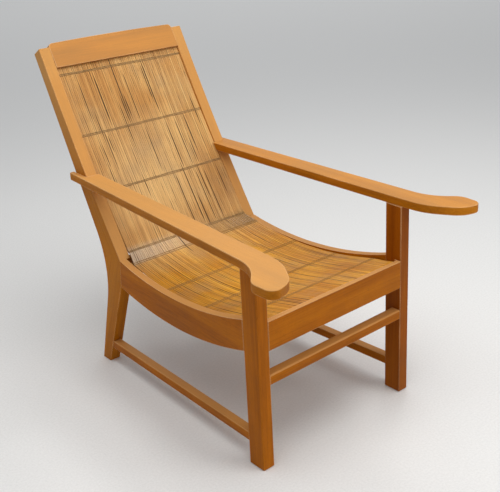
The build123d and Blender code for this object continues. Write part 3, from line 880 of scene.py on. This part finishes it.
def strip_material():
    """Split cane: each strip its own shade, paler and shinier where it is rubbed, with painted
    sheen on the band and painted shade at the seams.
    """
    nodes = Nodes("split_strip")
    where = nodes.where()
    x = nodes.split(where)[0]
    shade, down, deep = [nodes.attribute(name) for name in ("shade", "down", "deep")]
    along = nodes.join(x, shade, nodes.times(down, FIBRE_STRETCH))
    fibre = nodes.noise(along, 1300, roughness=0.6)
    slow = nodes.noise(along, 170, detail=2)
    tone = nodes.plus(nodes.times(shade, SHADE_SHARE), nodes.times(slow, SLOW_SHARE))
    back = nodes.ramp(tone, CANE_STOPS, BACK_CANE)
    seat = nodes.ramp(tone, CANE_STOPS, SEAT_CANE)
    colour = nodes.mix(nodes.spread(down, *SEAT_COLOUR), back, seat)
    patches = nodes.noise(where, 5.5, detail=2)
    colour = nodes.tinted(colour, nodes.ramp(patches, PATCH_STOPS, PATCH_TINTS))
    colour = nodes.mix(leaned_on(nodes, x, down), colour, LEANED_ON_CANE)
    blotches = nodes.noise(where, 9, roughness=0.6)
    grey = nodes.times(nodes.spread(blotches, *BLOTCH_SPAN), GREY_SHARE)
    colour = nodes.mix(grey, colour, GREY_CANE)
    band = nodes.times(nodes.spread(down, *BAND_REAR), nodes.spread(down, *BAND_FRONT))
    # The right of the band: rubbed pale, with painted sheen
    rubbed_and_highlit = nodes.times(band, nodes.spread(x, *RUBBED_SHEEN_FROM_TO))
    colour = nodes.mix(rubbed_and_highlit, colour, RUBBED_SHEEN_CANE)
    stained = nodes.times(band, nodes.spread(x, *STAINED_FROM_TO))
    colour = nodes.mix(stained, colour, STAINED_CANE)
    fibres = nodes.spread(fibre, *NOISE_SPAN, *FIBRE_SHADE)
    colour = nodes.tinted(colour, nodes.grey(fibres))
    # Dirt and painted shade in the seams
    grime_and_shade = nodes.times(nodes.spread(deep, *SEAM_DARK_SPAN), SEAM_DARK_MOST)
    colour = nodes.mix(grime_and_shade, colour, SEAM_DIRT_AND_SHADE)
    rough = nodes.spread(fibre, *NOISE_SPAN, *CANE_ROUGHNESS)
    nodes.surface(colour, nodes.minus(rough, nodes.times(band, BAND_SHINE)))
    nodes.relief(fibre, CANE_RELIEF, CANE_RELIEF_DEPTH)
    nodes.put(nodes.shader, "Specular IOR Level", CANE_SHINE)
    return nodes.material


def twine_material(name, tones):
    """Twisted twine, worn pale in patches."""
    nodes = Nodes(name)
    where = nodes.where()
    fibre = nodes.noise(where, 1600, detail=2, roughness=0.6, distortion=0.5)
    patches = nodes.noise(where, 30, roughness=0.6)
    colour = nodes.ramp(fibre, TWINE_STOPS, tones)
    pale = nodes.times(nodes.spread(patches, *BLOTCH_SPAN), TWINE_PALE_SHARE)
    colour = nodes.mix(pale, colour, tones[2])
    nodes.surface(colour, nodes.spread(fibre, *NOISE_SPAN, *TWINE_ROUGHNESS))
    nodes.relief(fibre, TWINE_RELIEF, TWINE_RELIEF_DEPTH)
    return nodes.material


# Floor, light and camera


FLOOR_REACH = 30
FLOOR_TONES = ((0.76, 0.76, 0.75), (0.84, 0.84, 0.83))
FLOOR_STOPS = (0.3, 0.7)
FLOOR_ROUGHNESS = 0.9

ROOM_COLOUR = (0.95, 0.97, 1, 1)
ROOM_STRENGTH = 0.42
# Each light with its place, what it faces, its size, its power and its colour
LIGHTS = (
    ("ceiling", (-0.2, -0.6, 3.0), (0, 0, 0.4), (2.6, 2.6), 58, (1, 0.98, 0.95)),
    ("window", (1.8, -3.2, 2.0), (0, 0, 0.4), (2.0, 1.6), 34, (1, 0.98, 0.96)),
    ("glint", (1.9, 0.75, 2.9), (-0.1, 0.2, 0.4), (0.6, 0.6), 9, (1, 1, 1)),
    ("background", (7.5, 8.5, 5.0), (7.5, 8.5, 0), (12, 12), 190, (1, 1, 1)),
)

# The camera that was fitted to the photo
CAMERA_AZIMUTH = math.radians(-40.26)
CAMERA_HEIGHT = math.radians(20.59)
CAMERA_ROLL = math.radians(-2.67)
CAMERA_DISTANCE = 2.42104
CAMERA_TARGET = Vector((0.00751, -0.12271, 0.55873))
CAMERA_LENS = 62.81
CAMERA_SENSOR = 36
CAMERA_SHIFT_X = -0.024
CAMERA_SHIFT_Y = -0.072


def stage_floor():
    """A plain pale floor, faintly speckled."""
    nodes = Nodes("pale_floor")
    speck = nodes.noise(nodes.where(), 160, roughness=0.6)
    nodes.surface(nodes.ramp(speck, FLOOR_STOPS, FLOOR_TONES), FLOOR_ROUGHNESS)
    signs = ((-1, -1), (1, -1), (1, 1), (-1, 1))
    corners = [(FLOOR_REACH * x, FLOOR_REACH * y, 0) for x, y in signs]
    floor = new_piece("floor", corners, [(0, 1, 2, 3)], nodes.material, smooth=False)


def soft_light(name, place, target, size, power, colour):
    """A rectangular area light that faces the target."""
    data = bpy.data.lights.new(name, "AREA")
    data.shape = "RECTANGLE"
    data.size, data.size_y = size
    data.energy = power
    data.color = colour
    light = bpy.data.objects.new(name, data)
    light.location = place
    way = Vector(target) - Vector(place)
    light.rotation_mode = "QUATERNION"
    light.rotation_quaternion = way.to_track_quat("-Z", "Y")
    bpy.context.scene.collection.objects.link(light)


def lights():
    """Soft studio light: a faint room light and the lights of the table above."""
    bpy.context.scene.view_settings.view_transform = "Standard"
    world = bpy.data.worlds.new("room")
    world.use_nodes = True
    background = world.node_tree.nodes["Background"]
    background.inputs["Color"].default_value = ROOM_COLOUR
    background.inputs["Strength"].default_value = ROOM_STRENGTH
    bpy.context.scene.world = world
    for light in LIGHTS:
        soft_light(*light)


def camera():
    """The camera, on a sphere round its target and rolled a little."""
    level = math.cos(CAMERA_HEIGHT)
    east = math.sin(CAMERA_AZIMUTH) * level
    north = -math.cos(CAMERA_AZIMUTH) * level
    back = Vector((east, north, math.sin(CAMERA_HEIGHT)))
    right = (-back).cross(Vector((0, 0, 1))).normalized()
    up = right.cross(-back)
    turned_right = right * math.cos(CAMERA_ROLL) + up * math.sin(CAMERA_ROLL)
    turned_up = up * math.cos(CAMERA_ROLL) - right * math.sin(CAMERA_ROLL)
    data = bpy.data.cameras.new("camera")
    data.lens = CAMERA_LENS
    data.sensor_width = CAMERA_SENSOR
    data.shift_x = CAMERA_SHIFT_X
    data.shift_y = CAMERA_SHIFT_Y
    eye = bpy.data.objects.new("camera", data)
    axes = Matrix((turned_right, turned_up, back)).transposed().to_4x4()
    eye.matrix_world = Matrix.Translation(CAMERA_TARGET + back * CAMERA_DISTANCE) @ axes
    bpy.context.scene.collection.objects.link(eye)
    bpy.context.scene.camera = eye


camera()
lights()
stage_floor()
dress_frame()
boundaries = Boundaries()
strip_mat(strip_material(), boundaries)
back_twine = twine_material("back_twine", BROWN_TWINE)
seat_twine = twine_material("seat_twine", WORN_TWINE)
for row in range(1, TWINE_ROWS + 1):
    twine_row(row, seat_twine if row >= FIRST_SEAT_ROW else back_twine, boundaries)

bpy.context.view_layer.update()
